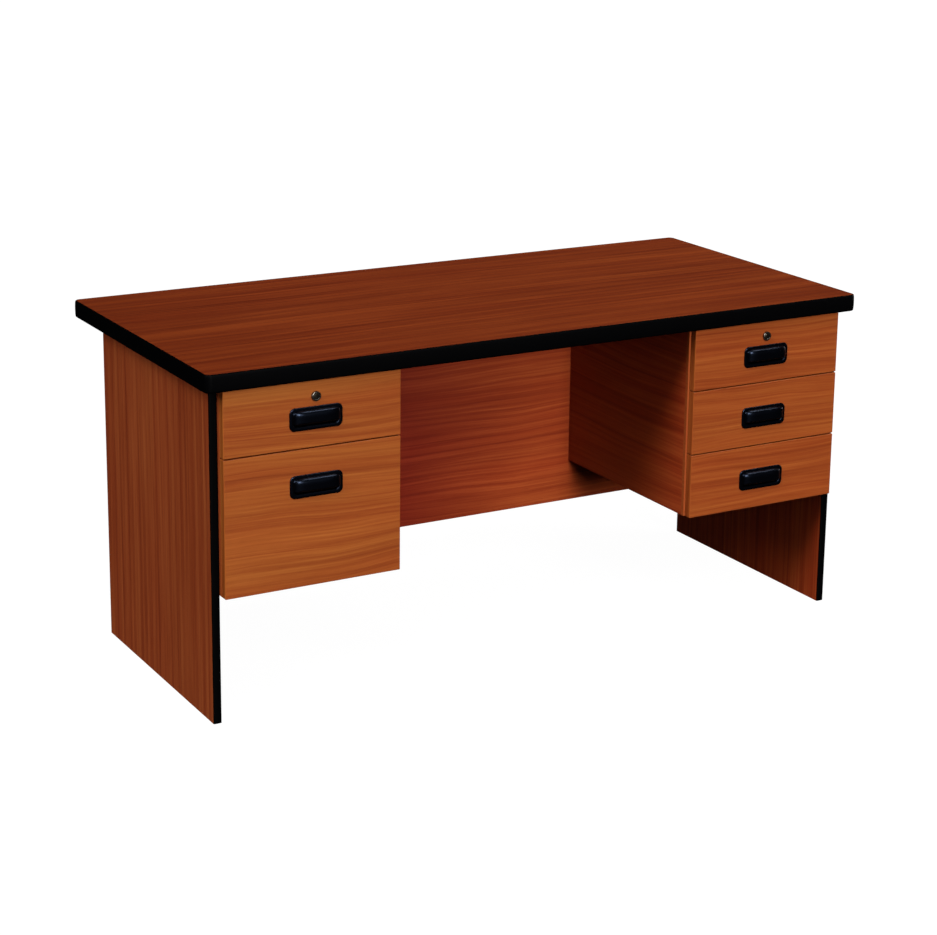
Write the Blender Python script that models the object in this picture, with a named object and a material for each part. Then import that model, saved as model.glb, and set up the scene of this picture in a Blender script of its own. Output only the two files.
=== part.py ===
"""Teacher's desk: a worktop on two panel ends, with a two-drawer pedestal on the
left and a three-drawer pedestal on the right of the knee space.

Metres, +Z up. The origin is on the floor under the middle of the worktop, the user
sits on the -Y side, and +X is the user's right-hand side.
"""
import math

import bmesh
import bpy
from mathutils import Vector

# ---- Driving dimensions -------------------------------------------------------
DESK_WIDTH = 1.610
DESK_DEPTH = 0.750
DESK_HEIGHT = 0.750
TOP_THICKNESS = 0.038
BOARD = 0.018              # end panels and drawer fronts
CARCASS_BOARD = 0.016      # pedestal sides and modesty panel
BOX_BOARD = 0.012          # drawer box sides and pedestal bottoms
FIT_GAP = 0.0003           # between pieces that touch
BOARD_ROUNDING = 0.0008    # arris of a laminated board

# Edge mouldings: a crowned face on the board's edge, held by a tongue in a groove.
TOP_CORNER_RADIUS = 0.015
TOP_BAND_FACE = 0.004
PANEL_BAND_FACE = 0.0032
TONGUE_DEPTH = 0.0085
TONGUE_HALF = 0.0014
GROOVE_DEPTH = 0.0090
GROOVE_HALF = 0.0018

# Where the panels stand under the worktop.
END_OVERHANG = 0.022       # worktop past each end panel's outer face
FRONT_OVERHANG = 0.0395    # worktop past the end panels' front edges
REAR_OVERHANG = 0.126      # worktop past the end panels' rear edges
MODESTY_FRONT = 0.147      # modesty panel's face on the user's side, in Y
MODESTY_BOTTOM = 0.1745

# Pedestals.
PEDESTAL_BOTTOM = 0.2755
KNEE_SIDE_FACE = 0.364     # each pedestal's face on the knee space, distance from the middle
FACE_Y = -0.3624           # drawer fronts' outer faces
FRONT_INNER_X = 0.368      # drawer fronts, from and to this distance from the middle
FRONT_OUTER_X = 0.7645
PULL_X = 0.5613            # pulls and locks, distance from the middle
FRONT_GAP = 0.003          # between one drawer front and the next
FRONT_PITCH = 0.1468       # height from one box drawer's front to the next
TOP_CLEARANCE = 0.0022     # above the top drawer's front

# Drawer boxes and their slides.
BOX_LENGTH = 0.450
BOX_RISE = 0.018           # box above the bottom edge of its front
BOX_DRAWER_SIDE = 0.090
FILE_DRAWER_SIDE = 0.230
SLIDE_SPACE = 0.0127       # between box and pedestal side, each side
BOX_FLOOR = 0.004
BOX_FLOOR_RISE = 0.010     # floor panel above the box's lower edge
FLOOR_GROOVE = 0.005
SLIDE_LENGTH = 0.445
SLIDE_SETBACK = 0.003      # slides behind the drawer front
SLIDE_METAL = 0.0012
CHANNEL_HALF_HEIGHT = 0.018
RAIL_HALF_HEIGHT = 0.0125

# Pulls: a hooded cup let into the drawer front.
PULL_HALF_WIDTH = 0.0595
PULL_HALF_HEIGHT = 0.0245
PULL_CORNER = 0.012
FLANGE_FRONT = 0.0028
POCKET_HALF_WIDTH = 0.0520
POCKET_HALF_HEIGHT = 0.0170
POCKET_DEPTH = 0.0120
HOOD_LIP = -0.0075         # hood ends this far from the pull's middle
TOP_PULL_DROP = 0.0778     # pull's middle below the top edge of a locking drawer's front
PULL_DROP = 0.0772         # and of the other fronts

# Cam locks in the top drawers.
LOCK_Z = 0.6767
LOCK_BEZEL_RADIUS = 0.0105
LOCK_BEZEL_FRONT = 0.0050
LOCK_BARREL_RADIUS = 0.0088
LOCK_HOLE_RADIUS = 0.0092
LOCK_BARREL_REAR = 0.0225
LOCK_BORE_RADIUS = 0.0064
PLUG_RADIUS = 0.0060
CAM_FRONT = 0.0245
CAM_THICKNESS = 0.0020
CAM_REACH = 0.028
CAM_HALF_WIDTH = 0.007
KEYWAY = (0.0016, 0.0070, 0.0040)
STRIKE_FRONT = 0.0200      # strike's hanging flange behind the drawer faces
STRIKE_DROP = 0.018
STRIKE_HALF_WIDTH = 0.020
STRIKE_DEPTH = 0.030

CORNER_STEPS = 6
ROUND_STEPS = 32

# ---- Sizes that follow --------------------------------------------------------
TOP_UNDERSIDE = DESK_HEIGHT - TOP_THICKNESS
HALF_WIDTH = DESK_WIDTH / 2
HALF_DEPTH = DESK_DEPTH / 2
PANEL_OUTER = HALF_WIDTH - END_OVERHANG
PANEL_INNER = PANEL_OUTER - BOARD
PANEL_FRONT = -HALF_DEPTH + FRONT_OVERHANG
PANEL_REAR = HALF_DEPTH - REAR_OVERHANG
UNDER_TOP = TOP_UNDERSIDE - FIT_GAP
CARCASS_FRONT = FACE_Y + BOARD + FIT_GAP
CARCASS_REAR = MODESTY_FRONT - FIT_GAP
OUTER_SIDE_FACE = PANEL_INNER - FIT_GAP
INSIDE_NEAR = KNEE_SIDE_FACE + CARCASS_BOARD
INSIDE_FAR = OUTER_SIDE_FACE - CARCASS_BOARD
BOX_NEAR = INSIDE_NEAR + SLIDE_SPACE
BOX_FAR = INSIDE_FAR - SLIDE_SPACE
BOX_FRONT = FACE_Y + BOARD + FIT_GAP
BOX_REAR = BOX_FRONT + BOX_LENGTH
TOP_FRONT_EDGE = TOP_UNDERSIDE - TOP_CLEARANCE
TOP_GAP_Z = PEDESTAL_BOTTOM + 2 * FRONT_PITCH
LOW_GAP_Z = PEDESTAL_BOTTOM + FRONT_PITCH


# ---- Scene and materials ------------------------------------------------------
def clear_scene():
    for obj in list(bpy.data.objects):
        bpy.data.objects.remove(obj, do_unlink=True)


def linear(channel):
    """One sRGB channel, 0 to 255, as the linear value Blender's shaders take."""
    value = channel / 255
    return value / 12.92 if value <= 0.04045 else ((value + 0.055) / 1.055) ** 2.4


def material(name, red, green, blue, roughness, metallic=0.0):
    mat = bpy.data.materials.new(name)
    mat.use_nodes = True
    shader = mat.node_tree.nodes["Principled BSDF"]
    shader.inputs["Base Color"].default_value = (linear(red), linear(green), linear(blue), 1.0)
    shader.inputs["Roughness"].default_value = roughness
    shader.inputs["Metallic"].default_value = metallic
    return mat


# ---- Mesh helpers -------------------------------------------------------------
def empty_at(name, location):
    """An empty that the pieces of one moving body hang from."""
    empty = bpy.data.objects.new(name, None)
    empty.location = location
    bpy.context.collection.objects.link(empty)
    return empty


def finish_object(name, bm, mat, parent=None):
    """Turn world-space mesh data into an object, under its body's empty if it moves."""
    origin = Vector(parent.location) if parent else Vector((0, 0, 0))
    bmesh.ops.translate(bm, verts=bm.verts, vec=-origin)
    bmesh.ops.recalc_face_normals(bm, faces=bm.faces)
    mesh = bpy.data.meshes.new(name)
    bm.to_mesh(mesh)
    bm.free()
    obj = bpy.data.objects.new(name, mesh)
    obj.data.materials.append(mat)
    obj.parent = parent
    bpy.context.collection.objects.link(obj)
    return obj


def add_bevel(obj, width=BOARD_ROUNDING, segments=1):
    bevel = obj.modifiers.new("rounding", "BEVEL")
    bevel.width = width
    bevel.segments = segments
    return obj


def add_boolean(obj, other, operation="DIFFERENCE"):
    """Cut the object by another one, or join them; the other is left as a wire guide."""
    boolean = obj.modifiers.new(operation.lower(), "BOOLEAN")
    boolean.operation = operation
    boolean.object = other
    other.hide_render = True
    other.display_type = "WIRE"


def prism(outline, axis, low, high):
    """Extrude a flat outline along X, Y or Z. The outline is in the other two axes."""
    bm = bmesh.new()

    def place(point, along):
        coordinates = list(point)
        coordinates.insert("xyz".index(axis), along)
        return bm.verts.new(coordinates)

    start = [place(point, low) for point in outline]
    end = [place(point, high) for point in outline]
    bm.faces.new(start)
    bm.faces.new(list(reversed(end)))
    bridge(bm, start, end)
    return bm


def bridge(bm, first, second):
    for i in range(len(first)):
        j = (i + 1) % len(first)
        bm.faces.new((first[i], first[j], second[j], second[i]))


def block(x_range, y_range, z_range):
    x0, x1 = sorted(x_range)
    outline = [(x0, y_range[0]), (x1, y_range[0]), (x1, y_range[1]), (x0, y_range[1])]
    return prism(outline, "z", *z_range)


def board(name, x_range, y_range, z_range, mat, parent=None):
    return add_bevel(finish_object(name, block(x_range, y_range, z_range), mat, parent))


def rounded_rectangle(half_a, half_b, radius, steps=CORNER_STEPS):
    """Outline of a rectangle with round corners, anticlockwise about the middle."""
    points = []
    corners = ((1, 1), (-1, 1), (-1, -1), (1, -1))
    for quarter, (sign_a, sign_b) in enumerate(corners):
        centre_a = sign_a * (half_a - radius)
        centre_b = sign_b * (half_b - radius)
        for step in range(steps + 1):
            angle = math.pi / 2 * (quarter + step / steps)
            points.append((centre_a + radius * math.cos(angle), centre_b + radius * math.sin(angle)))
    return points


def loft(loops, closed=False):
    """Skin a row of equal loops; the ends are capped, or joined when it is closed."""
    bm = bmesh.new()
    rings = [[bm.verts.new(point) for point in loop] for loop in loops]
    for first, second in zip(rings, rings[1:]):
        bridge(bm, first, second)
    if closed:
        bridge(bm, rings[-1], rings[0])
    else:
        bm.faces.new(rings[0])
        bm.faces.new(list(reversed(rings[-1])))
    return bm


def round_bar(centre, radii_at, steps=ROUND_STEPS):
    """Loops of a turned piece along Y: (radius, distance behind the drawer face) pairs."""
    x, z = centre
    loops = []
    for radius, behind in radii_at:
        angles = [2 * math.pi * step / steps for step in range(steps)]
        loops.append([(x + radius * math.cos(a), FACE_Y + behind, z + radius * math.sin(a)) for a in angles])
    return loops


# ---- Worktop ------------------------------------------------------------------
def slab_loop(offset, z):
    """The worktop board's outline, moved outwards by offset, at one height."""
    half_x = HALF_WIDTH - TOP_BAND_FACE + offset
    half_y = HALF_DEPTH - TOP_BAND_FACE + offset
    radius = TOP_CORNER_RADIUS - TOP_BAND_FACE + offset
    return [(x, y, z) for x, y in rounded_rectangle(half_x, half_y, radius)]


def crowned_profile(half, face, gap=FIT_GAP):
    """Half a T-moulding's section, from its tongue to its top: (outwards, up) pairs."""
    return [
        (-TONGUE_DEPTH, TONGUE_HALF),
        (gap, TONGUE_HALF),
        (gap, half - 0.0001),
        (0.35 * face, half),
        (0.70 * face, half - 0.0009),
        (0.92 * face, half - 0.0030),
        (face, 0.30 * half),
    ]


def full_profile(half, face):
    upper = crowned_profile(half, face)
    lower = [(outwards, -up) for outwards, up in reversed(upper)]
    return upper + lower


def build_worktop(laminate, black):
    middle = DESK_HEIGHT - TOP_THICKNESS / 2
    section = [
        (0, TOP_UNDERSIDE),
        (0, middle - GROOVE_HALF),
        (-GROOVE_DEPTH, middle - GROOVE_HALF),
        (-GROOVE_DEPTH, middle + GROOVE_HALF),
        (0, middle + GROOVE_HALF),
        (0, DESK_HEIGHT),
    ]
    finish_object("worktop_board", loft([slab_loop(*point) for point in section]), laminate)

    profile = full_profile(TOP_THICKNESS / 2, TOP_BAND_FACE)
    loops = [slab_loop(outwards, middle + up) for outwards, up in profile]
    finish_object("worktop_edge_moulding", loft(loops, closed=True), black)


# ---- End panels and modesty panel ---------------------------------------------
def build_end_panel(side_name, side, laminate, black):
    middle = side * (PANEL_OUTER + PANEL_INNER) / 2
    half = BOARD / 2
    front = PANEL_FRONT + PANEL_BAND_FACE
    outline = [
        (middle - half, front),
        (middle - GROOVE_HALF, front),
        (middle - GROOVE_HALF, front + GROOVE_DEPTH),
        (middle + GROOVE_HALF, front + GROOVE_DEPTH),
        (middle + GROOVE_HALF, front),
        (middle + half, front),
        (middle + half, PANEL_REAR),
        (middle - half, PANEL_REAR),
    ]
    finish_object(f"{side_name}_end_panel", prism(outline, "z", 0, UNDER_TOP), laminate)

    strip = [(middle + across, front - out) for out, across in full_profile(half, PANEL_BAND_FACE)]
    finish_object(f"{side_name}_end_panel_edge_moulding", prism(strip, "z", 0, UNDER_TOP), black)


def build_modesty_panel(laminate):
    reach = PANEL_INNER - FIT_GAP
    y_range = (MODESTY_FRONT, MODESTY_FRONT + CARCASS_BOARD)
    board("modesty_panel", (-reach, reach), y_range, (MODESTY_BOTTOM, UNDER_TOP), laminate)


# ---- Pedestals ----------------------------------------------------------------
def build_pedestal(side_name, side, laminate, steel):
    y_range = (CARCASS_FRONT, CARCASS_REAR)
    z_range = (PEDESTAL_BOTTOM, UNDER_TOP)
    knee_side = (side * KNEE_SIDE_FACE, side * INSIDE_NEAR)
    outer_side = (side * INSIDE_FAR, side * OUTER_SIDE_FACE)
    board(f"{side_name}_pedestal_knee_side", knee_side, y_range, z_range, laminate)
    board(f"{side_name}_pedestal_outer_side", outer_side, y_range, z_range, laminate)
    between = (side * (INSIDE_NEAR + FIT_GAP), side * (INSIDE_FAR - FIT_GAP))
    floor = (PEDESTAL_BOTTOM, PEDESTAL_BOTTOM + BOX_BOARD)
    board(f"{side_name}_pedestal_bottom", between, y_range, floor, laminate)
    build_strike(f"{side_name}_lock_strike", side * PULL_X, steel)


def build_strike(name, x, steel):
    """Angle plate under the worktop whose hanging flange the lock's cam turns up behind."""
    front = FACE_Y + STRIKE_FRONT
    outline = [
        (front, UNDER_TOP),
        (front, UNDER_TOP - STRIKE_DROP),
        (front + SLIDE_METAL, UNDER_TOP - STRIKE_DROP),
        (front + SLIDE_METAL, UNDER_TOP - SLIDE_METAL),
        (front + STRIKE_DEPTH, UNDER_TOP - SLIDE_METAL),
        (front + STRIKE_DEPTH, UNDER_TOP),
    ]
    finish_object(name, prism(outline, "x", x - STRIKE_HALF_WIDTH, x + STRIKE_HALF_WIDTH), steel)


# ---- Slides -------------------------------------------------------------------
def channel_section(near, far, mouth, half, z):
    """A U section between two distances from the middle: its web at near, mouth at far."""
    inward = SLIDE_METAL if far > near else -SLIDE_METAL
    return [
        (near, z - half),
        (mouth, z - half),
        (mouth, z - half + SLIDE_METAL),
        (near + inward, z - half + SLIDE_METAL),
        (near + inward, z + half - SLIDE_METAL),
        (mouth, z + half - SLIDE_METAL),
        (mouth, z + half),
        (near, z + half),
    ]


def build_slide(drawer, place, side, wall, box_face, z, steel, body):
    """A channel on the pedestal side and, inside it, the rail on the drawer box."""
    away = 1 if box_face > wall else -1
    y_range = (BOX_FRONT + SLIDE_SETBACK, BOX_FRONT + SLIDE_SETBACK + SLIDE_LENGTH)
    pieces = (
        ("channel", wall + away * FIT_GAP, box_face, wall + away * 0.0085, CHANNEL_HALF_HEIGHT, None),
        ("rail", box_face - away * FIT_GAP, wall, wall + away * 0.0035, RAIL_HALF_HEIGHT, body),
    )
    for piece, near, far, mouth, half, parent in pieces:
        section = channel_section(near, far, mouth, half, z)
        xz_outline = [(side * x, height) for x, height in section]
        finish_object(f"{drawer}_{place}_slide_{piece}", prism(xz_outline, "y", *y_range), steel, parent)


# ---- Drawers ------------------------------------------------------------------
def build_front(drawer, side, x, z_range, pull_z, has_lock, laminate, body):
    x_range = (side * FRONT_INNER_X, side * FRONT_OUTER_X)
    front = board(f"{drawer}_front", x_range, (FACE_Y, FACE_Y + BOARD), z_range, laminate, body)
    pocket = pull_loops(x, pull_z, [(POCKET_HALF_WIDTH, POCKET_HALF_HEIGHT, 0.0085, -0.01),
                                    (POCKET_HALF_WIDTH, POCKET_HALF_HEIGHT, 0.0085, POCKET_DEPTH)])
    add_boolean(front, finish_object(f"{drawer}_pocket_cutter", loft(pocket), laminate, body))
    if has_lock:
        hole = round_bar((x, LOCK_Z), [(LOCK_HOLE_RADIUS, -0.01), (LOCK_HOLE_RADIUS, BOARD + 0.01)])
        add_boolean(front, finish_object(f"{drawer}_lock_hole_cutter", loft(hole), laminate, body))


def build_box(drawer, side, bottom, height, lining, body):
    """The box: a U-shaped wrap of two sides and a back, and a floor let into a groove."""
    z_range = (bottom, bottom + height)
    near, far = BOX_NEAR + BOX_BOARD, BOX_FAR - BOX_BOARD
    outline = [
        (BOX_NEAR, BOX_FRONT),
        (near, BOX_FRONT),
        (near, BOX_REAR - BOX_BOARD),
        (far, BOX_REAR - BOX_BOARD),
        (far, BOX_FRONT),
        (BOX_FAR, BOX_FRONT),
        (BOX_FAR, BOX_REAR),
        (BOX_NEAR, BOX_REAR),
    ]
    wrap_outline = [(side * x, y) for x, y in outline]
    wrap = finish_object(f"{drawer}_box_wrap", prism(wrap_outline, "z", *z_range), lining, body)

    floor_z = bottom + BOX_FLOOR_RISE
    groove = block(
        (side * (near - FLOOR_GROOVE), side * (far + FLOOR_GROOVE)),
        (BOX_FRONT - 0.01, BOX_REAR - BOX_BOARD + FLOOR_GROOVE),
        (floor_z - FIT_GAP, floor_z + BOX_FLOOR + FIT_GAP),
    )
    add_boolean(wrap, finish_object(f"{drawer}_groove_cutter", groove, lining, body))
    panel = block(
        (side * (near - FLOOR_GROOVE + FIT_GAP), side * (far + FLOOR_GROOVE - FIT_GAP)),
        (BOX_FRONT, BOX_REAR - BOX_BOARD + FLOOR_GROOVE - FIT_GAP),
        (floor_z, floor_z + BOX_FLOOR),
    )
    finish_object(f"{drawer}_box_floor", panel, lining, body)


def pull_loops(x, z, levels):
    """Loops in the plane of the drawer face: (half width, half height, corner, behind)."""
    loops = []
    for half_width, half_height, corner, behind in levels:
        outline = rounded_rectangle(half_width, half_height, corner)
        loops.append([(x + a, FACE_Y + behind, z + b) for a, b in outline])
    return loops


def build_pull(drawer, x, z, plastic, body):
    """Flange on the face, cup in the pocket, and a hood that the fingers reach up behind."""
    flange = [
        (PULL_HALF_WIDTH, PULL_HALF_HEIGHT, PULL_CORNER, -FIT_GAP),
        (PULL_HALF_WIDTH, PULL_HALF_HEIGHT, PULL_CORNER, -0.0018),
        (PULL_HALF_WIDTH - 0.001, PULL_HALF_HEIGHT - 0.001, PULL_CORNER - 0.001, -FLANGE_FRONT),
    ]
    cup = [
        (POCKET_HALF_WIDTH - 0.0005, POCKET_HALF_HEIGHT - 0.0005, 0.0080, -0.0010),
        (POCKET_HALF_WIDTH - 0.0005, POCKET_HALF_HEIGHT - 0.0005, 0.0080, POCKET_DEPTH - 0.0005),
    ]
    hood = [
        (0.0535, 0.0190, 0.0100, -0.0020),
        (0.0525, 0.0182, 0.0095, -0.0062),
        (0.0485, 0.0150, 0.0080, -0.0103),
        (0.0430, 0.0100, 0.0060, -0.0120),
        (0.0370, 0.0050, 0.0040, -0.0125),
    ]
    hollow = [
        (0.0495, 0.0145, 0.0070, 0.0100),
        (0.0505, 0.0155, 0.0075, -0.0020),
        (0.0502, 0.0162, 0.0075, -0.0057),
        (0.0465, 0.0132, 0.0065, -0.0083),
        (0.0415, 0.0085, 0.0050, -0.0099),
        (0.0360, 0.0040, 0.0030, -0.0104),
    ]
    pull = finish_object(f"{drawer}_pull", loft(pull_loops(x, z, flange)), plastic, body)
    shapes = (("cup", cup, "UNION"), ("hood", hood, "UNION"), ("hollow", hollow, "DIFFERENCE"))
    for name, levels, operation in shapes:
        other = finish_object(f"{drawer}_pull_{name}_guide", loft(pull_loops(x, z, levels)), plastic, body)
        add_boolean(pull, other, operation)
    mouth = block(
        (x - PULL_HALF_WIDTH, x + PULL_HALF_WIDTH),
        (FACE_Y - 0.020, FACE_Y - FLANGE_FRONT - 0.0002),
        (z - 0.030, z + HOOD_LIP),
    )
    add_boolean(pull, finish_object(f"{drawer}_pull_mouth_guide", mouth, plastic, body))


def build_drawer(drawer, side, z_range, pull_drop, box_height, has_lock, mats):
    x = side * PULL_X
    bottom, top = z_range
    body = empty_at(f"{drawer}_body", (x, FACE_Y, (bottom + top) / 2))
    pull_z = top - pull_drop
    build_front(drawer, side, x, z_range, pull_z, has_lock, mats["front"], body)
    build_pull(drawer, x, pull_z, mats["pull"], body)
    box_bottom = bottom + BOX_RISE
    build_box(drawer, side, box_bottom, box_height, mats["lining"], body)
    slide_z = box_bottom + box_height / 2
    build_slide(drawer, "knee", side, INSIDE_NEAR, BOX_NEAR, slide_z, mats["steel"], body)
    build_slide(drawer, "outer", side, INSIDE_FAR, BOX_FAR, slide_z, mats["steel"], body)
    return body


# ---- Locks --------------------------------------------------------------------
def build_lock(side_name, side, drawer_body, chrome):
    """A barrel through the drawer front and, turning in it, the keyed plug with its cam."""
    x = side * PULL_X
    barrel_section = [
        (LOCK_BORE_RADIUS, -LOCK_BEZEL_FRONT + 0.0006),
        (LOCK_BORE_RADIUS + 0.0010, -LOCK_BEZEL_FRONT),
        (LOCK_BEZEL_RADIUS - 0.0015, -LOCK_BEZEL_FRONT),
        (LOCK_BEZEL_RADIUS, -LOCK_BEZEL_FRONT + 0.0015),
        (LOCK_BEZEL_RADIUS, -FIT_GAP),
        (LOCK_BARREL_RADIUS, -FIT_GAP),
        (LOCK_BARREL_RADIUS, LOCK_BARREL_REAR),
        (LOCK_BORE_RADIUS, LOCK_BARREL_REAR),
    ]
    loops = round_bar((x, LOCK_Z), barrel_section)
    finish_object(f"{side_name}_lock_barrel", loft(loops, closed=True), chrome, drawer_body)

    lock_body = empty_at(f"{side_name}_lock_body", (x, FACE_Y, LOCK_Z))
    plug_section = [
        (PLUG_RADIUS - 0.0005, -LOCK_BEZEL_FRONT + 0.0008),
        (PLUG_RADIUS, -LOCK_BEZEL_FRONT + 0.0013),
        (PLUG_RADIUS, CAM_FRONT + CAM_THICKNESS + 0.0030),
    ]
    plug = finish_object(f"{side_name}_lock_plug", loft(round_bar((x, LOCK_Z), plug_section)), chrome, lock_body)
    cam = finish_object(f"{side_name}_lock_cam_guide", cam_plate(x), chrome, lock_body)
    add_boolean(plug, cam, "UNION")
    width, height, depth = KEYWAY
    slot = block(
        (x - width / 2, x + width / 2),
        (FACE_Y - 0.010, FACE_Y - LOCK_BEZEL_FRONT + depth),
        (LOCK_Z - height / 2, LOCK_Z + height / 2),
    )
    add_boolean(plug, finish_object(f"{side_name}_lock_keyway_cutter", slot, chrome, lock_body))


def cam_plate(x):
    """Flat cam with a round heel on the plug's axis, pointing to +X when unlocked."""
    outline = []
    heel_steps = ROUND_STEPS // 4
    for step in range(heel_steps + 1):
        angle = math.pi / 2 + math.pi * step / heel_steps
        outline.append((x + CAM_HALF_WIDTH * math.cos(angle), LOCK_Z + CAM_HALF_WIDTH * math.sin(angle)))
    outline.append((x + CAM_REACH - 0.003, LOCK_Z - CAM_HALF_WIDTH))
    outline.append((x + CAM_REACH, LOCK_Z - CAM_HALF_WIDTH + 0.003))
    outline.append((x + CAM_REACH, LOCK_Z + CAM_HALF_WIDTH - 0.003))
    outline.append((x + CAM_REACH - 0.003, LOCK_Z + CAM_HALF_WIDTH))
    return prism(outline, "y", FACE_Y + CAM_FRONT, FACE_Y + CAM_FRONT + CAM_THICKNESS)


# ---- The desk -----------------------------------------------------------------
def build_desk():
    clear_scene()
    worktop_wood = material("worktop laminate", 112, 44, 22, 0.38)
    panel_wood = material("panel laminate", 118, 47, 27, 0.42)
    front_wood = material("drawer front laminate", 162, 84, 38, 0.42)
    black = material("black edge moulding", 12, 11, 13, 0.35)
    plastic = material("black pull plastic", 14, 15, 20, 0.30)
    lining = material("drawer box board", 176, 142, 104, 0.55)
    steel = material("zinc-plated slide steel", 178, 180, 182, 0.35, 1.0)
    chrome = material("chromed lock", 205, 205, 205, 0.15, 1.0)
    mats = {"front": front_wood, "pull": plastic, "lining": lining, "steel": steel}

    build_worktop(worktop_wood, black)
    for side_name, side in (("left", -1), ("right", 1)):
        build_end_panel(side_name, side, panel_wood, black)
        build_pedestal(side_name, side, panel_wood, steel)
    build_modesty_panel(panel_wood)

    top_range = (TOP_GAP_Z + FRONT_GAP / 2, TOP_FRONT_EDGE)
    middle_range = (LOW_GAP_Z + FRONT_GAP / 2, TOP_GAP_Z - FRONT_GAP / 2)
    bottom_range = (PEDESTAL_BOTTOM, LOW_GAP_Z - FRONT_GAP / 2)
    file_range = (PEDESTAL_BOTTOM, TOP_GAP_Z - FRONT_GAP / 2)
    drawers = (
        ("left_top_drawer", -1, top_range, TOP_PULL_DROP, BOX_DRAWER_SIDE, True),
        ("left_file_drawer", -1, file_range, PULL_DROP, FILE_DRAWER_SIDE, False),
        ("right_top_drawer", 1, top_range, TOP_PULL_DROP, BOX_DRAWER_SIDE, True),
        ("right_middle_drawer", 1, middle_range, PULL_DROP, BOX_DRAWER_SIDE, False),
        ("right_bottom_drawer", 1, bottom_range, PULL_DROP, BOX_DRAWER_SIDE, False),
    )
    for drawer, side, z_range, pull_drop, box_height, has_lock in drawers:
        body = build_drawer(drawer, side, z_range, pull_drop, box_height, has_lock, mats)
        if has_lock:
            build_lock("left" if side < 0 else "right", side, body, chrome)


build_desk()
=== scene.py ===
"""Looks for the teacher's desk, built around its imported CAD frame.

Metres, +Z up, origin on the floor under the middle of the worktop. The user sits on
the -Y side, and +X is the user's right.
"""
import math

import bmesh
import bpy
from mathutils import Matrix, Vector


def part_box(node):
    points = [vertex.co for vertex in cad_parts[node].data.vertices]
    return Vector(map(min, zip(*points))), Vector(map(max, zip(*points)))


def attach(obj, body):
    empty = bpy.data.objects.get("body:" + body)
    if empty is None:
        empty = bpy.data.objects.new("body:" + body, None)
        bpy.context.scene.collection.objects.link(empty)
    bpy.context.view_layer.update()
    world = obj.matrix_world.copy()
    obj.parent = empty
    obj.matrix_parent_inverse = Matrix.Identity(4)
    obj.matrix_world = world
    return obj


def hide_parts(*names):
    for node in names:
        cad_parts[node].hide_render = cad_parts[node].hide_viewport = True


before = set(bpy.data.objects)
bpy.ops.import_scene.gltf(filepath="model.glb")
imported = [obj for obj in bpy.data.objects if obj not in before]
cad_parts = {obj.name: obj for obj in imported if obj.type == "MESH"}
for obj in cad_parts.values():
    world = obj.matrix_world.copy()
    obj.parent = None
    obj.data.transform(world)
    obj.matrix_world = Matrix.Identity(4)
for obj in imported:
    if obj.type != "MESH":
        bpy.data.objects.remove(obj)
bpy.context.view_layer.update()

DRAWERS = {  # each drawer and the side of the desk it is on, -1 for the left
    "left_top_drawer": -1,
    "left_file_drawer": -1,
    "right_top_drawer": 1,
    "right_middle_drawer": 1,
    "right_bottom_drawer": 1,
}
SIDES = ("left", "right")


# ---- Colour and node helpers ----------------------------------------------------
def linear(channel):
    """One sRGB channel, 0 to 255, as the linear value that shaders take."""
    value = channel / 255
    return value / 12.92 if value <= 0.04045 else ((value + 0.055) / 1.055) ** 2.4


def rgb(red, green, blue):
    """An sRGB colour, 0 to 255 each, as a shader colour."""
    return (linear(red), linear(green), linear(blue), 1.0)


def scaled(colour, factor):
    return tuple(channel * factor for channel in colour[:3]) + (1.0,)


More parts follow.
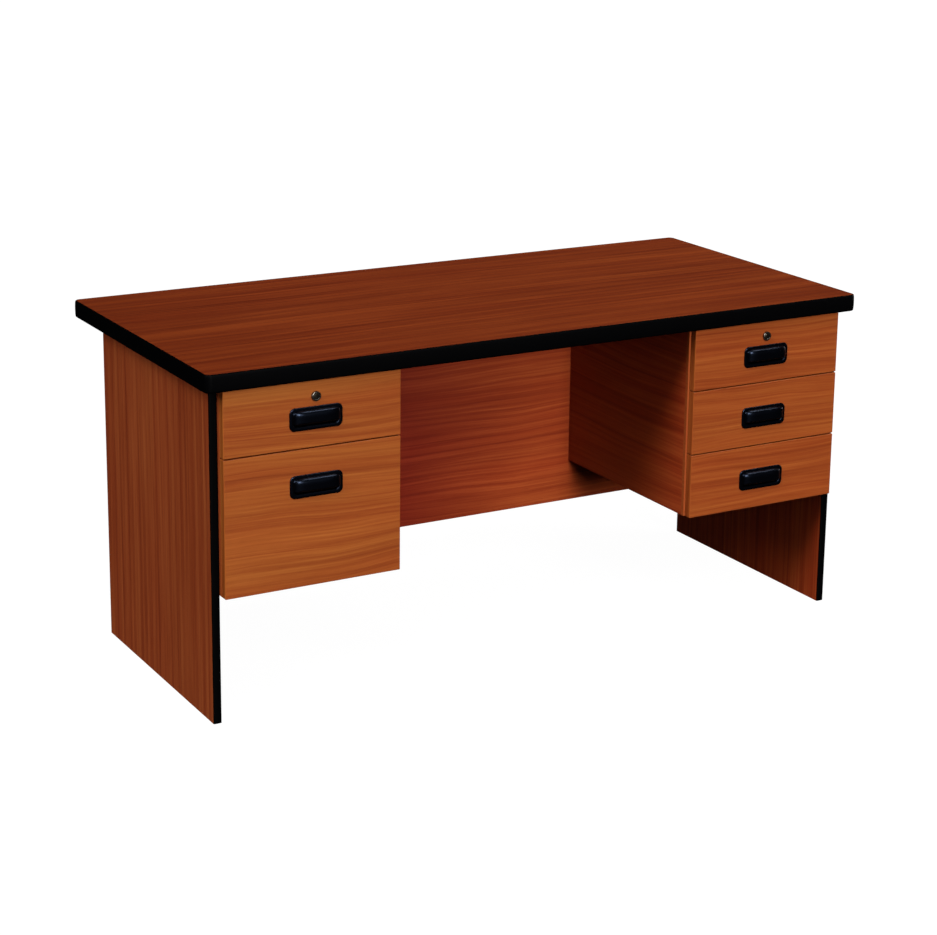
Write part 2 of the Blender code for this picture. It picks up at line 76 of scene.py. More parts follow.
class Tree:
    """A material's node tree, with short calls for the nodes used here."""

    def __init__(self, name):
        self.mat = bpy.data.materials.new(name)
        self.mat.use_nodes = True
        self.nodes = self.mat.node_tree.nodes
        self.links = self.mat.node_tree.links
        self.shader = self.nodes["Principled BSDF"]

    def join(self, value, socket):
        """Links a node's output to the socket, or sets the socket to a plain value."""
        if hasattr(value, "is_output"):
            self.links.new(value, socket)
        else:
            socket.default_value = value

    def set(self, **sockets):
        for name, value in sockets.items():
            self.join(value, self.shader.inputs[name.replace("_", " ")])

    def math(self, operation, a, b=0.0, c=None, clamp=False):
        node = self.nodes.new("ShaderNodeMath")
        node.operation = operation
        node.use_clamp = clamp
        self.join(a, node.inputs[0])
        self.join(b, node.inputs[1])
        if c is not None:
            self.join(c, node.inputs[2])
        return node.outputs[0]

    def blend(self, factor, a, b):
        """A plain number mix."""
        node = self.nodes.new("ShaderNodeMix")
        self.join(factor, node.inputs[0])
        self.join(a, node.inputs[2])
        self.join(b, node.inputs[3])
        return node.outputs[0]

    def colour_mix(self, factor, a, b, mode="MIX"):
        node = self.nodes.new("ShaderNodeMix")
        node.data_type = "RGBA"
        node.blend_type = mode
        self.join(factor, node.inputs[0])
        self.join(a, node.inputs[6])
        self.join(b, node.inputs[7])
        return node.outputs[2]

    def separate(self, vector):
        node = self.nodes.new("ShaderNodeSeparateXYZ")
        self.join(vector, node.inputs[0])
        return node.outputs

    def combine(self, x, y, z):
        node = self.nodes.new("ShaderNodeCombineXYZ")
        for value, socket in zip((x, y, z), node.inputs):
            self.join(value, socket)
        return node.outputs[0]

    def noise(self, vector, scale=1.0, detail=2.0, roughness=0.5):
        node = self.nodes.new("ShaderNodeTexNoise")
        self.join(vector, node.inputs["Vector"])
        node.inputs["Scale"].default_value = scale
        node.inputs["Detail"].default_value = detail
        node.inputs["Roughness"].default_value = roughness
        return node.outputs["Fac"]

    def ramp(self, value, stops):
        node = self.nodes.new("ShaderNodeValToRGB")
        elements = node.color_ramp.elements
        while len(elements) < len(stops):
            elements.new(0.5)
        for element, (place, colour) in zip(elements, stops):
            element.position = place
            element.color = colour
        self.join(value, node.inputs[0])
        return node.outputs[0]

    def grey_ramp(self, value, stops):
        greys = [(place, (level, level, level, 1.0)) for place, level in stops]
        return self.ramp(value, greys)

    def object_vector(self):
        return self.nodes.new("ShaderNodeTexCoord").outputs["Object"]

    def object_place(self):
        return self.separate(self.object_vector())

    def stretched_place(self, scales):
        """Object coordinates with each axis scaled by its own number."""
        axes = zip(self.object_place(), scales)
        return self.combine(*[self.math("MULTIPLY", axis, scale) for axis, scale in axes])

    def bump(self, height, strength, distance):
        node = self.nodes.new("ShaderNodeBump")
        node.inputs["Strength"].default_value = strength
        node.inputs["Distance"].default_value = distance
        self.join(height, node.inputs["Height"])
        self.links.new(node.outputs[0], self.shader.inputs["Normal"])


# ---- Materials ------------------------------------------------------------------
FACING = 0.6  # a face looks along an axis when that part of its normal is above this


def grain_plane(tree, along):
    """Coordinates along and across the grain for a board face, whichever way it looks.

    along gives, for faces looking along X, Y and Z, the axis that the grain follows.
    """
    place = dict(zip("xyz", tree.object_place()))
    normal = tree.separate(tree.nodes.new("ShaderNodeNewGeometry").outputs["True Normal"])
    looks_x = tree.math("GREATER_THAN", tree.math("ABSOLUTE", normal[0]), FACING)
    looks_z = tree.math("GREATER_THAN", tree.math("ABSOLUTE", normal[2]), FACING)
    run, cross = [], []
    for looks, axis in zip("xyz", along):
        run.append(place[axis])
        cross.append(place[next(other for other in "xyz" if other not in (looks, axis))])
    return (
        tree.blend(looks_z, tree.blend(looks_x, run[1], run[0]), run[2]),
        tree.blend(looks_z, tree.blend(looks_x, cross[1], cross[0]), cross[2]),
    )


def laminate(
    name, along, tones, seed, bend, contrast, drift,
    rings=(0.55, 78.0), tone_and_shade_sweep=None, edge=None, roughness=0.42,
):
    """Printed wood-grain laminate: flowing growth rings, fibres and fine pores.

    tones are the dark, middle and light wood. bend is how far the rings wander across
    the board. drift is the strength and colour of a second tone that comes and goes in
    slow bands. rings are the rings' frequencies along and across the grain. The sweep is
    a slow change of tone along X (from, to, first tone, last tone, and the Y it reaches
    back to); on the worktop and on the modesty panel's front it is painted shade. edge is
    the place in Y and the colour of the banding on the boards' front edges.
    """
    tree = Tree(name)
    run, cross = grain_plane(tree, along)
    dark, middle, light = tones

    def grain(stretch, across, offset, detail=2.0, rough=0.5, where=None):
        """Noise with its own frequency along the grain and across it."""
        place = tree.combine(
            tree.math("MULTIPLY", run, stretch),
            tree.math("MULTIPLY", where or cross, across),
            seed + offset,
        )
        return tree.noise(place, 1.0, detail, rough)

    flow = tree.math("MULTIPLY_ADD", grain(0.9, 2.6, 0.0), bend, cross)
    warped = tree.math("MULTIPLY_ADD", grain(3.0, 9.0, 3.7), bend * 0.16, flow)
    ring_noise = grain(rings[0], rings[1], 9.1, 2.5, 0.62, warped)
    ring_tone = tree.grey_ramp(ring_noise, [(0.24, 0.0), (0.36, 0.30), (0.50, 0.62), (0.74, 1.0)])
    fibres = grain(5.0, 330.0, 1.3, 3.0, 0.62, warped)
    threads = grain(1.6, 150.0, 6.6, 2.0, 0.6, warped)
    cloud = grain(1.3, 7.0, 5.5)

    tone = 0.5
    for layer, weight in ((ring_tone, 0.50), (fibres, 0.80), (threads, 0.55), (cloud, 0.40)):
        above_mean = tree.math("SUBTRACT", layer, 0.5)
        tone = tree.math("MULTIPLY_ADD", above_mean, weight * contrast, tone)
    colour = tree.ramp(tone, [(0.12, dark), (0.50, middle), (0.88, light)])
    strength, second_tone = drift
    slow = grain(1.1, 12.0, 4.4, 3.0, 0.6, flow)
    bands = tree.grey_ramp(slow, [(0.36, 0.0), (0.66, 1.0)])
    bands = tree.math("MULTIPLY", bands, strength)
    colour = tree.colour_mix(bands, colour, second_tone, "MULTIPLY")
    # Painted shade: the sweep darkens the worktop's left end and the modesty panel's front
    # towards its left; on the drawer fronts it makes the left lighter and yellower.
    if tone_and_shade_sweep:
        start, end, first, last, rear = tone_and_shade_sweep
        wander = 0.30  # how far the change follows the grain instead of a straight line
        x, y, _ = tree.object_place()
        place = tree.math("MULTIPLY_ADD", grain(1.5, 5.0, 8.8), wander, x)
        past_start = tree.math("SUBTRACT", place, start + wander / 2)
        share = tree.math("DIVIDE", past_start, end - start, clamp=True)
        # Faces behind the given Y, such as the modesty panel's back, take none of the painted
        # shade.
        in_front = tree.math("LESS_THAN", y, rear)
        swept_tone_and_shade = tree.colour_mix(share, first, last)
        colour = tree.colour_mix(in_front, colour, swept_tone_and_shade, "MULTIPLY")
    if edge:
        limit, edge_tone = edge
        banded = tree.math("LESS_THAN", tree.object_place()[1], limit)
        colour = tree.colour_mix(banded, colour, tree.colour_mix(fibres, edge_tone, middle))

    dashes = grain(46.0, 1150.0, 2.2, 1.0, 0.5, warped)
    pores = tree.grey_ramp(dashes, [(0.60, 0.0), (0.70, 1.0)])
    pores = tree.math("MULTIPLY", pores, tree.grey_ramp(ring_noise, [(0.30, 1.0), (0.62, 0.25)]))
    shaded = tree.colour_mix(tree.math("MULTIPLY", pores, 0.34), colour, dark)
    tree.set(Base_Color=shaded, Specular_IOR_Level=0.14)
    tree.set(Roughness=tree.math("MULTIPLY_ADD", fibres, 0.10, roughness - 0.05))
    tree.bump(tree.math("MULTIPLY_ADD", pores, -0.7, fibres), 0.22, 0.0004)
    return tree.mat


def black_plastic(name, colour, roughness, specular, tint, grain_size, depth):
    """Moulded or extruded black plastic with a fine even texture."""
    tree = Tree(name)
    place = tree.object_vector()
    fine = tree.noise(place, grain_size)
    soft = tree.noise(place, 9.0)
    tree.set(Base_Color=tree.colour_mix(soft, colour, scaled(colour, 1.35)))
    tree.set(Roughness=tree.math("MULTIPLY_ADD", soft, 0.10, roughness - 0.05))
    tree.set(Specular_IOR_Level=specular, Specular_Tint=tint)
    tree.bump(fine, 0.12, depth)
    return tree.mat


def metal(name, colour, roughness, brushed=(1.0, 1.0, 1.0)):
    """Plated metal, with streaks along the axis where brushed is small."""
    tree = Tree(name)
    place = tree.stretched_place(brushed)
    streaks = tree.noise(place, 900.0)
    cloud = tree.noise(place, 60.0)
    tree.set(Base_Color=tree.colour_mix(cloud, scaled(colour, 0.86), colour))
    tree.set(Metallic=1.0, Roughness=tree.math("MULTIPLY_ADD", streaks, 0.16, roughness - 0.08))
    return tree.mat


def lining_board(name):
    """Pale foil-faced board of the drawer boxes."""
    tree = Tree(name)
    grain = tree.noise(tree.stretched_place((6.0, 6.0, 60.0)), 4.0, 4.0, 0.6)
    stops = [(0.3, rgb(176, 142, 104)), (0.5, rgb(184, 151, 113)), (0.7, rgb(191, 159, 122))]
    tree.set(Base_Color=tree.ramp(grain, stops), Roughness=0.55, Specular_IOR_Level=0.3)
    tree.bump(grain, 0.15, 0.0003)
    return tree.mat


# Dark, middle and light tones of the laminates
WORKTOP = (rgb(75, 21, 6), rgb(103, 38, 13), rgb(134, 60, 23))
PANEL = (rgb(92, 22, 7), rgb(130, 48, 19), rgb(158, 72, 33))
LEFT_END = (rgb(88, 25, 10), rgb(125, 54, 24), rgb(152, 80, 40))
FRONT = (rgb(95, 36, 10), rgb(125, 59, 22), rgb(148, 82, 34))
RED = (1.0, 0.80, 0.84, 1.0)
EDGE_BAND = rgb(140, 74, 34)
EDGE_BAND_Y = -0.3345  # the pedestals' front edges are in front of this
UNTINTED = (1.0, 1.0, 1.0, 1.0)
BLUISH = (0.46, 0.62, 1.0, 1.0)


def make_materials():
    modesty_low, modesty_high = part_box("modesty_panel")
    modesty_middle = (modesty_low.y + modesty_high.y) / 2
    end_grain = dict(rings=(0.25, 74.0), bend=0.04, contrast=0.86, drift=(0.4, RED))
    return {
        "worktop": laminate(
            "worktop laminate", "yxx", WORKTOP, seed=2.0, rings=(0.8, 88.0), bend=0.07,
            contrast=0.92, drift=(0.3, RED), roughness=0.40,
            # painted shade: the worktop darker and less blue towards its left end
            tone_and_shade_sweep=(-0.80, -0.35, (0.86, 0.84, 0.70, 1.0), (1.0, 1.04, 0.98, 1.0), 1.0),
        ),
        "modesty": laminate(
            "modesty panel laminate", "zxx", PANEL, seed=7.0, rings=(0.8, 95.0), bend=0.08,
            contrast=0.76, drift=(0.6, RED),
            # painted shade: the left pedestal's shadow, darker and redder towards the left of the
            # front, lighter towards the right
            tone_and_shade_sweep=(-0.07, 0.27, (0.56, 0.32, 0.40, 1.0), (1.08, 1.18, 1.09, 1.0), modesty_middle),
        ),
        "left_end": laminate("left end panel laminate", "zzy", LEFT_END, seed=12.0, **end_grain),
        "right_end": laminate("right end panel laminate", "zzy", PANEL, seed=14.0, **end_grain),
        "pedestal": laminate(
            "pedestal laminate", "yzy", PANEL, seed=17.0, bend=0.05, contrast=0.8,
            drift=(0.8, RED), edge=(EDGE_BAND_Y, EDGE_BAND),
        ),
        "front": laminate(
            "drawer front laminate", "zxx", FRONT, seed=23.0, rings=(0.7, 92.0), bend=0.11,
            contrast=0.74, drift=(0.7, RED),
            tone_and_shade_sweep=(-0.75, 0.45, (1.04, 1.15, 1.04, 1.0), (1.0, 0.95, 0.92, 1.0), 0.0),
        ),
        "moulding": black_plastic(
            "black edge moulding", rgb(0.4, 0.4, 0.8), 0.55, 0.025, UNTINTED, 1400.0, 0.0002
        ),
        "pull": black_plastic(
            "black pull plastic", rgb(0.8, 0.8, 1.6), 0.27, 0.21, BLUISH, 1800.0, 0.0001
        ),
        "lining": lining_board("drawer box board"),
        "steel": metal("zinc-plated slide steel", rgb(214, 214, 212), 0.58, (1.0, 0.04, 1.0)),
        "chrome": metal("chromed lock", rgb(112, 106, 98), 0.26),
        "screw": metal("zinc-plated screws", rgb(150, 150, 152), 0.30),
        "plug": metal("dark lock plug", rgb(58, 52, 44), 0.38),
    }


def dress_frame(mats):
    """Every CAD node that stays gets its detailed material."""
    kinds = (
        ("worktop_board", "worktop"),
        ("moulding", "moulding"),
        ("modesty", "modesty"),
        ("left_end_panel", "left_end"),
        ("right_end_panel", "right_end"),
        ("_front", "front"),
        ("_pull", "pull"),
        ("pedestal", "pedestal"),
        ("_box_", "lining"),
        ("slide", "steel"),
        ("strike", "steel"),
        ("lock", "chrome"),
    )
    for name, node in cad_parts.items():
        kind = next(mat for key, mat in kinds if key in name)
        node.data.materials.clear()
        node.data.materials.append(mats[kind])


# ---- Mesh helpers ---------------------------------------------------------------
# Edges that turn by more than these angles, in degrees, stay sharp
SMOOTH_ANGLE = 38.0
MOULDING_ANGLE = 50
LOCK_ANGLE = 30
SLIDE_ANGLE = 32
SCREW_ANGLE = 30


def smooth_piece(name, bm, mats, smooth_angle=SMOOTH_ANGLE):
    """An object from mesh data, smooth except at its sharp edges."""
    bmesh.ops.recalc_face_normals(bm, faces=bm.faces)
    mesh = bpy.data.meshes.new(name)
    bm.to_mesh(mesh)
    bm.free()
    for mat in mats:
        mesh.materials.append(mat)
    mesh.polygons.foreach_set("use_smooth", [True] * len(mesh.polygons))
    mesh.set_sharp_from_angle(angle=math.radians(smooth_angle))
    piece = bpy.data.objects.new(name, mesh)
    bpy.context.scene.collection.objects.link(piece)
    return piece


def stand_for(piece, node, body):
    """The piece takes a CAD node's place on its body."""
    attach(piece, body)
    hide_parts(node)


def bridge(bm, first, second, closed=True):
    """Faces between two equal rows of vertices."""
    count = len(first)
    for i in range(count if closed else count - 1):
        j = (i + 1) % count
        bm.faces.new((first[i], first[j], second[j], second[i]))


def rounded_rectangle(half_a, half_b, radius, steps=10):
    """Outline of a rectangle with round corners, anticlockwise about the middle."""
    points = []
    for quarter, (sign_a, sign_b) in enumerate(((1, 1), (-1, 1), (-1, -1), (1, -1))):
        for step in range(steps + 1):
            angle = math.pi / 2 * (quarter + step / steps)
            points.append((
                sign_a * (half_a - radius) + radius * math.cos(angle),
                sign_b * (half_b - radius) + radius * math.sin(angle),
            ))
    return points


def loft(bm, loops, closed=False):
    """Skins a row of equal loops; it is capped at both ends, or closed on itself."""
    rings = [[bm.verts.new(point) for point in loop] for loop in loops]
    for first, second in zip(rings, rings[1:]):
        bridge(bm, first, second)
    if closed:
        bridge(bm, rings[-1], rings[0])
    else:
        bm.faces.new(rings[0])
        bm.faces.new(list(reversed(rings[-1])))


def extruded(outline, centre, planes):
    """An (x, z) outline about the centre, as one loop at each distance behind its Y."""
    x, y, z = centre
    return [[(x + a, y + behind, z + b) for a, b in outline] for behind in planes]


def circle(radius, steps):
    angles = [2 * math.pi * step / steps for step in range(steps)]
    return [(radius * math.cos(angle), radius * math.sin(angle)) for angle in angles]


def turned(centre, section, steps=64):
    """Loops about an axis along Y: (radius, distance behind the drawer faces) pairs."""
    x, y, z = centre
    return [
        [(x + a, y + behind, z + b) for a, b in circle(radius, steps)]
        for radius, behind in section
    ]


def cut(piece, cutter_bm, operation="DIFFERENCE"):
    """Cuts or joins another closed mesh, and keeps the result as plain mesh."""
    cutter = smooth_piece("cutter", cutter_bm, [])
    boolean = piece.modifiers.new("cut", "BOOLEAN")
    boolean.operation = operation
    boolean.solver = "EXACT"
    boolean.object = cutter
    graph = bpy.context.evaluated_depsgraph_get()
    result = bpy.data.meshes.new_from_object(piece.evaluated_get(graph))
    piece.modifiers.clear()
    old, piece.data = piece.data, result
    bpy.data.meshes.remove(old)
    bpy.data.objects.remove(cutter)
    result.set_sharp_from_angle(angle=math.radians(SMOOTH_ANGLE))


# ---- Edge mouldings ---------------------------------------------------------------
LAP = 0.0005  # the moulding's edges reach this far in over the board
WORKTOP_FACE = 0.004  # how far the worktop's moulding stands out from the board
WORKTOP_CORNER = 0.015
PANEL_FACE = 0.0032  # the same for the end panels' mouldings


def crown(half, face):
    """A T-moulding's visible section: (outwards, up) from its top edge to its lower edge."""
    steps = 12
    points = [(-LAP, half - 0.0004), (0.0003, half - 0.00005), (0.25 * face, half)]
    for step in range(1, steps):
        angle = math.pi / 2 - math.pi * step / steps
        bulge = 0.38 * face + 0.62 * face * abs(math.cos(angle)) ** 0.55
        drawn_in = 0.985 if step in (1, steps - 1) else 1
        points.append((bulge, (half - 0.0002) * math.sin(angle) * drawn_in))
    return points + [(outwards, -up) for outwards, up in reversed(points[:3])]


def build_worktop_moulding(mats):
    low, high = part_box("worktop_edge_moulding")
    half_x, half_y = high.x, high.y
    middle, half = (low.z + high.z) / 2, (high.z - low.z) / 2
    loops = []
    for outwards, up in crown(half, WORKTOP_FACE):
        grow = outwards - WORKTOP_FACE
        corner = WORKTOP_CORNER + grow
        outline = rounded_rectangle(half_x + grow, half_y + grow, corner, steps=14)
        loops.append([(x, y, middle + up) for x, y in outline])
    bm = bmesh.new()
    loft(bm, loops, closed=True)
    piece = smooth_piece("worktop_t_moulding", bm, [mats["moulding"]], MOULDING_ANGLE)
    stand_for(piece, "worktop_edge_moulding", "desk")


def build_panel_mouldings(mats):
    for side_name in SIDES:
        node = f"{side_name}_end_panel_edge_moulding"
        low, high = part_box(node)
        middle, half = (low.x + high.x) / 2, (high.x - low.x) / 2
        front = low.y + PANEL_FACE
        outline = [(middle + across, front - out) for out, across in crown(half, PANEL_FACE)]
        levels = (low.z, low.z + 0.0006, high.z)  # a short band keeps the foot's shading flat
        bm = bmesh.new()
        loft(bm, [[(x, y, z) for x, y in outline] for z in levels])
        name = f"{side_name}_panel_t_moulding"
        piece = smooth_piece(name, bm, [mats["moulding"]], MOULDING_ANGLE)
        stand_for(piece, node, "desk")


# ---- Pulls --------------------------------------------------------------------------
PULL_HALF = (0.0595, 0.0245)  # half width and half height of the flange
HOOD_HALF = (0.0535, 0.0190)
HOOD_LIP = -0.0075  # height of the hood's lower lip about the pull's middle
HOOD_WALL = 0.0018
HOOD_OUTSIDE = (0.0020, 0.0105)  # root and rise of the hood's two faces
HOOD_INSIDE = (0.0004, 0.0103)
HOOD_ROWS, HOOD_COLUMNS = 16, 48
SQUARENESS = 6  # of the hood's superellipse outline


def superellipse(a, b):
    """1 on the hood's outline, less inside it; a and b are shares of its half sizes."""
    return (abs(a) ** SQUARENESS + abs(b) ** SQUARENESS) ** (1 / SQUARENESS)


def hood_sheet(half_width, half_height, root, rise):
    """Rows of points over the hood, from its lip up to its root on the flange.

    root is how far in front of the drawer face the sheet ends all round, and rise how
    far it swells out from there.
    """
    rows = []
    lowest = HOOD_LIP / half_height
    for j in range(HOOD_ROWS + 1):
        b = lowest + (1 - lowest) * math.sin(math.pi / 2 * j / HOOD_ROWS)
        row = []
        for i in range(HOOD_COLUMNS + 1):
            a = math.sin(math.pi / 2 * (i / (HOOD_COLUMNS / 2) - 1))
            reach, norm = max(abs(a), abs(b), 1e-9), superellipse(a, b)
            x, z = half_width * a * reach / norm, half_height * b * reach / norm
            if j == 0:
                z = HOOD_LIP
            spread = min(1.0, superellipse(x / half_width, max(z, 0.0) / half_height))
            row.append((x, -(root + rise * math.sqrt(max(0.0, 1 - spread ** 4))), z))
        rows.append(row)
    return rows


def hood_mesh(bm):
    """The hood as a closed shell with a rounded lip."""
    outer = hood_sheet(*HOOD_HALF, *HOOD_OUTSIDE)
    inner = hood_sheet(*[half - HOOD_WALL for half in HOOD_HALF], *HOOD_INSIDE)
    outer_verts = [[bm.verts.new(p) for p in row] for row in outer]
    inner_verts = [[bm.verts.new(p) for p in row] for row in inner]
    for rows in (outer_verts, inner_verts):
        for first, second in zip(rows, rows[1:]):
            bridge(bm, first, second, closed=False)
    lip = [outer_verts[0]]
    for share in (0.2, 0.5, 0.8):
        drop = HOOD_WALL / 2 * math.sin(math.pi * share)
        lip.append([
            bm.verts.new((
                a[0] + (b[0] - a[0]) * share,
                a[1] + (b[1] - a[1]) * share,
                HOOD_LIP - drop,
            ))
            for a, b in zip(outer[0], inner[0])
        ])
    lip.append(inner_verts[0])
    for first, second in zip(lip, lip[1:]):
        bridge(bm, first, second, closed=False)
    for end in (0, -1):
        outer_end = [row[end] for row in outer_verts]
        inner_end = [row[end] for row in inner_verts]
        bridge(bm, outer_end, inner_end, closed=False)
        bm.faces.new([row[end] for row in lip])
    bridge(bm, outer_verts[-1], inner_verts[-1], closed=False)


def pull_mesh():
    """The pull about its own middle on the drawer face: flange, cup and hood in one."""
    width, height = PULL_HALF
    section = [  # half width, half height, corner radius, distance behind the drawer face
        (0.0515, 0.0165, 0.0080, 0.0115),
        (0.0515, 0.0165, 0.0080, -0.0003),
        (width, height, 0.0120, -0.0003),
        (width, height, 0.0120, -0.0014),
        (width - 0.0003, height - 0.0003, 0.0117, -0.0021),
        (width - 0.0009, height - 0.0009, 0.0111, -0.0026),
        (width - 0.0019, height - 0.0019, 0.0101, -0.0028),
        (0.0519, 0.0169, 0.0086, -0.0028),
        (0.0511, 0.0161, 0.0080, -0.0025),
        (0.0506, 0.0156, 0.0077, -0.0018),
        (0.0504, 0.0154, 0.0075, -0.0006),
        (0.0501, 0.0151, 0.0073, 0.0075),
        (0.0496, 0.0146, 0.0068, 0.0090),
        (0.0485, 0.0135, 0.0060, 0.0098),
        (0.0468, 0.0118, 0.0050, 0.0100),
    ]
    loops = []
    for *outline, behind in section:
        loops.append([(a, behind, b) for a, b in rounded_rectangle(*outline)])
    body = bmesh.new()
    loft(body, loops)
    piece = smooth_piece("pull_pattern", body, [])
    hood = bmesh.new()
    hood_mesh(hood)
    cut(piece, hood, "UNION")
    mesh = piece.data
    bpy.data.objects.remove(piece)
    return mesh


def build_pulls(mats):
    pattern = pull_mesh()
    for drawer in DRAWERS:
        node = f"{drawer}_pull"
        low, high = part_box(node)
        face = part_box(f"{drawer}_front")[0].y
        place = ((low.x + high.x) / 2, face, (low.z + high.z) / 2)
        mesh = pattern.copy()
        mesh.transform(Matrix.Translation(place))
        mesh.materials.clear()
        mesh.materials.append(mats["pull"])
        piece = bpy.data.objects.new(f"{drawer}_cup_pull", mesh)
        bpy.context.scene.collection.objects.link(piece)
        stand_for(piece, node, drawer)


# ---- Locks --------------------------------------------------------------------------
# Turned sections: (radius, distance behind the drawer face)
BARREL_SECTION = (
    (0.0064, -0.0047),
    (0.0066, -0.0049),
    (0.0070, -0.0050),
    (0.0088, -0.0050),
    (0.0097, -0.0047),
    (0.0102, -0.0040),
    (0.0105, -0.0030),
    (0.0105, -0.0003),
    (0.0088, -0.0003),
    (0.0088, 0.0225),
    (0.0064, 0.0225),
)
PLUG_SECTION = ((0.0050, -0.0042), (0.0055, -0.0041), (0.0060, -0.0036), (0.0060, 0.0295))
KEYWAY_HALF = (0.0008, 0.0035)
KEYWAY_CORNER = 0.00075
KEYWAY_PLANES = (-0.008, -0.0010)
CAM_HEEL = 0.007  # radius of the cam's round end, about the lock's axis
CAM_TIP = (  # the cam's other end, about the lock's axis
    (0.0250, -0.007),
    (0.0272, -0.0062),
    (0.028, -0.004),
    (0.028, 0.004),
    (0.0272, 0.0062),
    (0.0250, 0.007),
)
CAM_PLANES = (0.0245, 0.0265)


def build_locks(mats):
    heel = [math.pi / 2 + math.pi * step / 12 for step in range(13)]
    cam_outline = [(CAM_HEEL * math.cos(a), CAM_HEEL * math.sin(a)) for a in heel]
    cam_outline.extend(CAM_TIP)
    keyway_outline = rounded_rectangle(*KEYWAY_HALF, KEYWAY_CORNER, steps=4)
    for side_name in SIDES:
        drawer = f"{side_name}_top_drawer"
        low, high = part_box(f"{side_name}_lock_barrel")
        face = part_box(f"{drawer}_front")[0].y
        centre = ((low.x + high.x) / 2, face, (low.z + high.z) / 2)
        bm = bmesh.new()
        loft(bm, turned(centre, BARREL_SECTION), closed=True)
        barrel = smooth_piece(f"{side_name}_lock_face", bm, [mats["chrome"]], LOCK_ANGLE)
        stand_for(barrel, f"{side_name}_lock_barrel", drawer)

        plug_bm = bmesh.new()
        loft(plug_bm, turned(centre, PLUG_SECTION, steps=48))
        plug = smooth_piece(f"{side_name}_lock_core", plug_bm, [mats["plug"]], LOCK_ANGLE)
        keyway = bmesh.new()
        loft(keyway, extruded(keyway_outline, centre, KEYWAY_PLANES))
        cut(plug, keyway)
        cam = bmesh.new()
        loft(cam, extruded(cam_outline, centre, CAM_PLANES))
        cut(plug, cam, "UNION")
        stand_for(plug, f"{side_name}_lock_plug", f"{side_name}_lock")


# ---- Slides -------------------------------------------------------------------------
SHEET = 0.0012
OUTER_BEND, INNER_BEND = 0.0022, 0.0010
LIPS = {"channel": -0.0016, "rail": 0.0014}  # below 0 the mouth turns in, above 0 out
SCREW_SHARES = (0.07, 0.45, 0.88)  # the screws' places along a slide
SCREW_SECTION = (  # radius, distance out from the sheet
    (0.0038, 0.0),
    (0.0036, 0.0004),
    (0.0026, 0.0008),
    (0.0012, 0.0009),
    (0.0010, 0.0004),
)


def bent_section(depth, half, lip):
    """A rolled channel's outline as (from its web, up)."""
    inside = depth - SHEET

    def arc(u, v, radius, start, end):
        angles = [math.radians(start + (end - start) * step / 4) for step in range(5)]
        return [(u + radius * math.cos(a), v + radius * math.sin(a)) for a in angles]

    if lip < 0:
        mouth = [(depth, half), (depth, half + lip), (inside, half + lip), (inside, half - SHEET)]
    else:
        mouth = [(inside, half), (inside, half + lip), (depth, half + lip), (depth, half - SHEET)]
    bend = arc(SHEET + INNER_BEND, half - SHEET - INNER_BEND, INNER_BEND, 90, 180)
    upper = arc(OUTER_BEND, half - OUTER_BEND, OUTER_BEND, 180, 90) + mouth + bend
    return upper + [(u, -v) for u, v in reversed(upper)]


def screw_heads(bm, web, inwards, middle, places):
    """Dished round heads on the sheet at x = web, facing along X."""
    for y in places:
        loops = []
        for radius, out in SCREW_SECTION:
            x = web + inwards * out
            loops.append([(x, y + a, middle + b) for a, b in circle(radius, steps=24)])
        loft(bm, loops)


def build_slide(mats, name, node, body, kind, web_at_low):
    """One channel or rail with its screws, in the box of its CAD node."""
    low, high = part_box(node)
    web, inwards = (low.x, 1) if web_at_low else (high.x, -1)
    middle, half = (low.z + high.z) / 2, (high.z - low.z) / 2
    section = bent_section(high.x - low.x, half, LIPS[kind])
    outline = [(web + inwards * u, middle + v) for u, v in section]
    bm = bmesh.new()
    loft(bm, [[(x, y, z) for x, z in outline] for y in (low.y, high.y)])
    piece = smooth_piece(f"{name}_rolled_{kind}", bm, [mats["steel"]], SLIDE_ANGLE)
    stand_for(piece, node, body)
    places = [low.y + (high.y - low.y) * share for share in SCREW_SHARES]
    screws = bmesh.new()
    screw_heads(screws, web + inwards * SHEET, inwards, middle, places)
    heads = smooth_piece(f"{name}_{kind}_screws", screws, [mats["screw"]], SCREW_ANGLE)
    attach(heads, body)


def build_slides(mats):
    for drawer, side in DRAWERS.items():
        for place in ("knee", "outer"):
            name = f"{drawer}_{place}"
            channel_at_low = (place == "knee") == (side > 0)
            build_slide(mats, name, f"{name}_slide_channel", "desk", "channel", channel_at_low)
            build_slide(mats, name, f"{name}_slide_rail", drawer, "rail", not channel_at_low)


# ---- Stage, light and camera ----------------------------------------------------
def stage_material(name, level, glow):
    tree = Tree(name)
    tree.set(Base_Color=(level, level, level, 1.0), Roughness=0.9, Specular_IOR_Level=0.0)
    tree.set(Emission_Color=(1.0, 1.0, 1.0, 1.0), Emission_Strength=glow)
    return tree.mat


def add_stage():
    """A pale floor and surround that the camera sees, and that don't light the desk."""
    bpy.ops.mesh.primitive_circle_add(vertices=96, radius=60, fill_type="NGON")
    floor = bpy.context.object
    floor.name = "floor"
    floor.data.materials.append(stage_material("pale floor", 0.06, 0.97))
    bpy.ops.mesh.primitive_uv_sphere_add(segments=48, ring_count=24, radius=58)
    surround = bpy.context.object
    surround.name = "surround"
    surround.data.materials.append(stage_material("pale surround", 0.0, 1.0))
    surround.visible_shadow = False
    for piece in (floor, surround):
        piece.visible_diffuse = False
        piece.visible_glossy = False


def add_world():
    world = bpy.data.worlds.new("studio")
    bpy.context.scene.world = world
    world.use_nodes = True
    background = world.node_tree.nodes["Background"]
    background.inputs["Color"].default_value = (1.0, 1.0, 1.0, 1.0)
    background.inputs["Strength"].default_value = 0.015


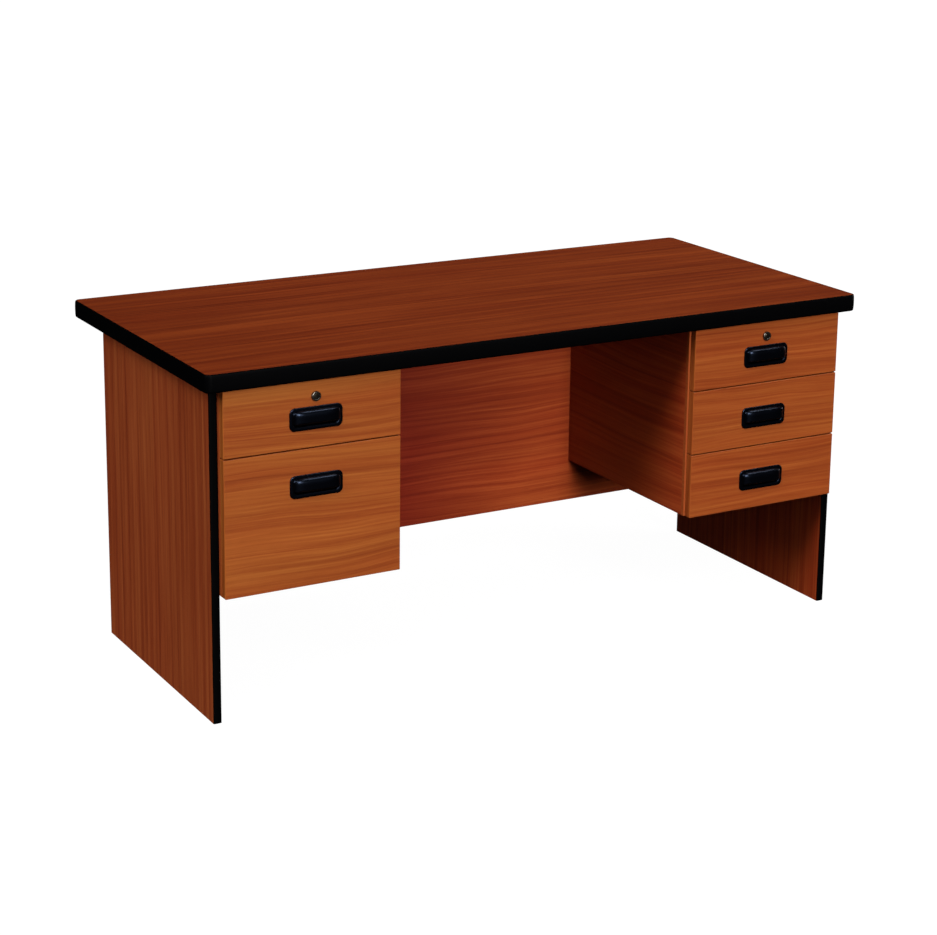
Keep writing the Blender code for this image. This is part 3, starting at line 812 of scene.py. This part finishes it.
def add_sun(name, azimuth, elevation, width, strength):
    """A broad far lamp; azimuth is from the user's side towards their right, in degrees.

    At strength 1 it makes a white surface that faces it fully white.
    """
    data = bpy.data.lights.new(name, "SUN")
    data.energy = math.pi * strength
    data.angle = math.radians(width)
    turn, rise = math.radians(azimuth), math.radians(elevation)
    level = math.cos(rise)
    towards = Vector((math.sin(turn) * level, -math.cos(turn) * level, math.sin(rise)))
    lamp = bpy.data.objects.new(name, data)
    lamp.rotation_euler = towards.to_track_quat("Z", "Y").to_euler()
    bpy.context.scene.collection.objects.link(lamp)


REAR_PANEL = Vector((4.2, 6.0, 0.36))


def add_rear_panel():
    """A low lamp behind the desk and to its right, below the level of the worktop."""
    data = bpy.data.lights.new("rear panel", "AREA")
    data.shape = "RECTANGLE"
    data.size, data.size_y = 4.0, 0.5
    data.energy = 260.0
    lamp = bpy.data.objects.new("rear panel", data)
    lamp.location = REAR_PANEL
    away = REAR_PANEL - Vector((0.0, 0.0, REAR_PANEL.z))
    lamp.rotation_euler = away.to_track_quat("Z", "Y").to_euler()
    lamp.visible_camera = False
    bpy.context.scene.collection.objects.link(lamp)


SUNS = (  # name, azimuth, elevation and width in degrees, strength
    ("front low", -3, 12, 14, 0.80),
    ("front", -6, 32, 24, 0.40),
    ("left", -80, 31, 20, 0.50),
    ("left high", -65, 50, 20, 0.42),
    ("front left high", -30, 50, 20, 0.15),
    ("right high", 62, 58, 16, 0.25),
    ("right low", 96, 7, 20, 0.35),
)


def add_lights():
    for sun in SUNS:
        add_sun(*sun)
    add_rear_panel()


EYE = (-2.4792, -4.3569, 1.8883)
TURN, DOWN, ROLL = -0.5168, 0.2447, 0.0116  # radians: about Z, below level, about the view


def add_camera():
    data = bpy.data.cameras.new("camera")
    data.sensor_width = 36.0
    data.lens = 87.455
    data.shift_y = -0.13
    camera = bpy.data.objects.new("camera", data)
    aim = (
        Matrix.Rotation(TURN, 4, "Z")
        @ Matrix.Rotation(math.pi / 2 - DOWN, 4, "X")
        @ Matrix.Rotation(ROLL, 4, "Z")
    )
    camera.matrix_world = Matrix.Translation(EYE) @ aim
    bpy.context.scene.collection.objects.link(camera)
    bpy.context.scene.camera = camera


def main():
    bpy.context.scene.view_settings.view_transform = "Standard"
    mats = make_materials()
    dress_frame(mats)
    build_worktop_moulding(mats)
    build_panel_mouldings(mats)
    build_pulls(mats)
    build_locks(mats)
    build_slides(mats)
    add_stage()
    add_world()
    add_lights()
    add_camera()


main()
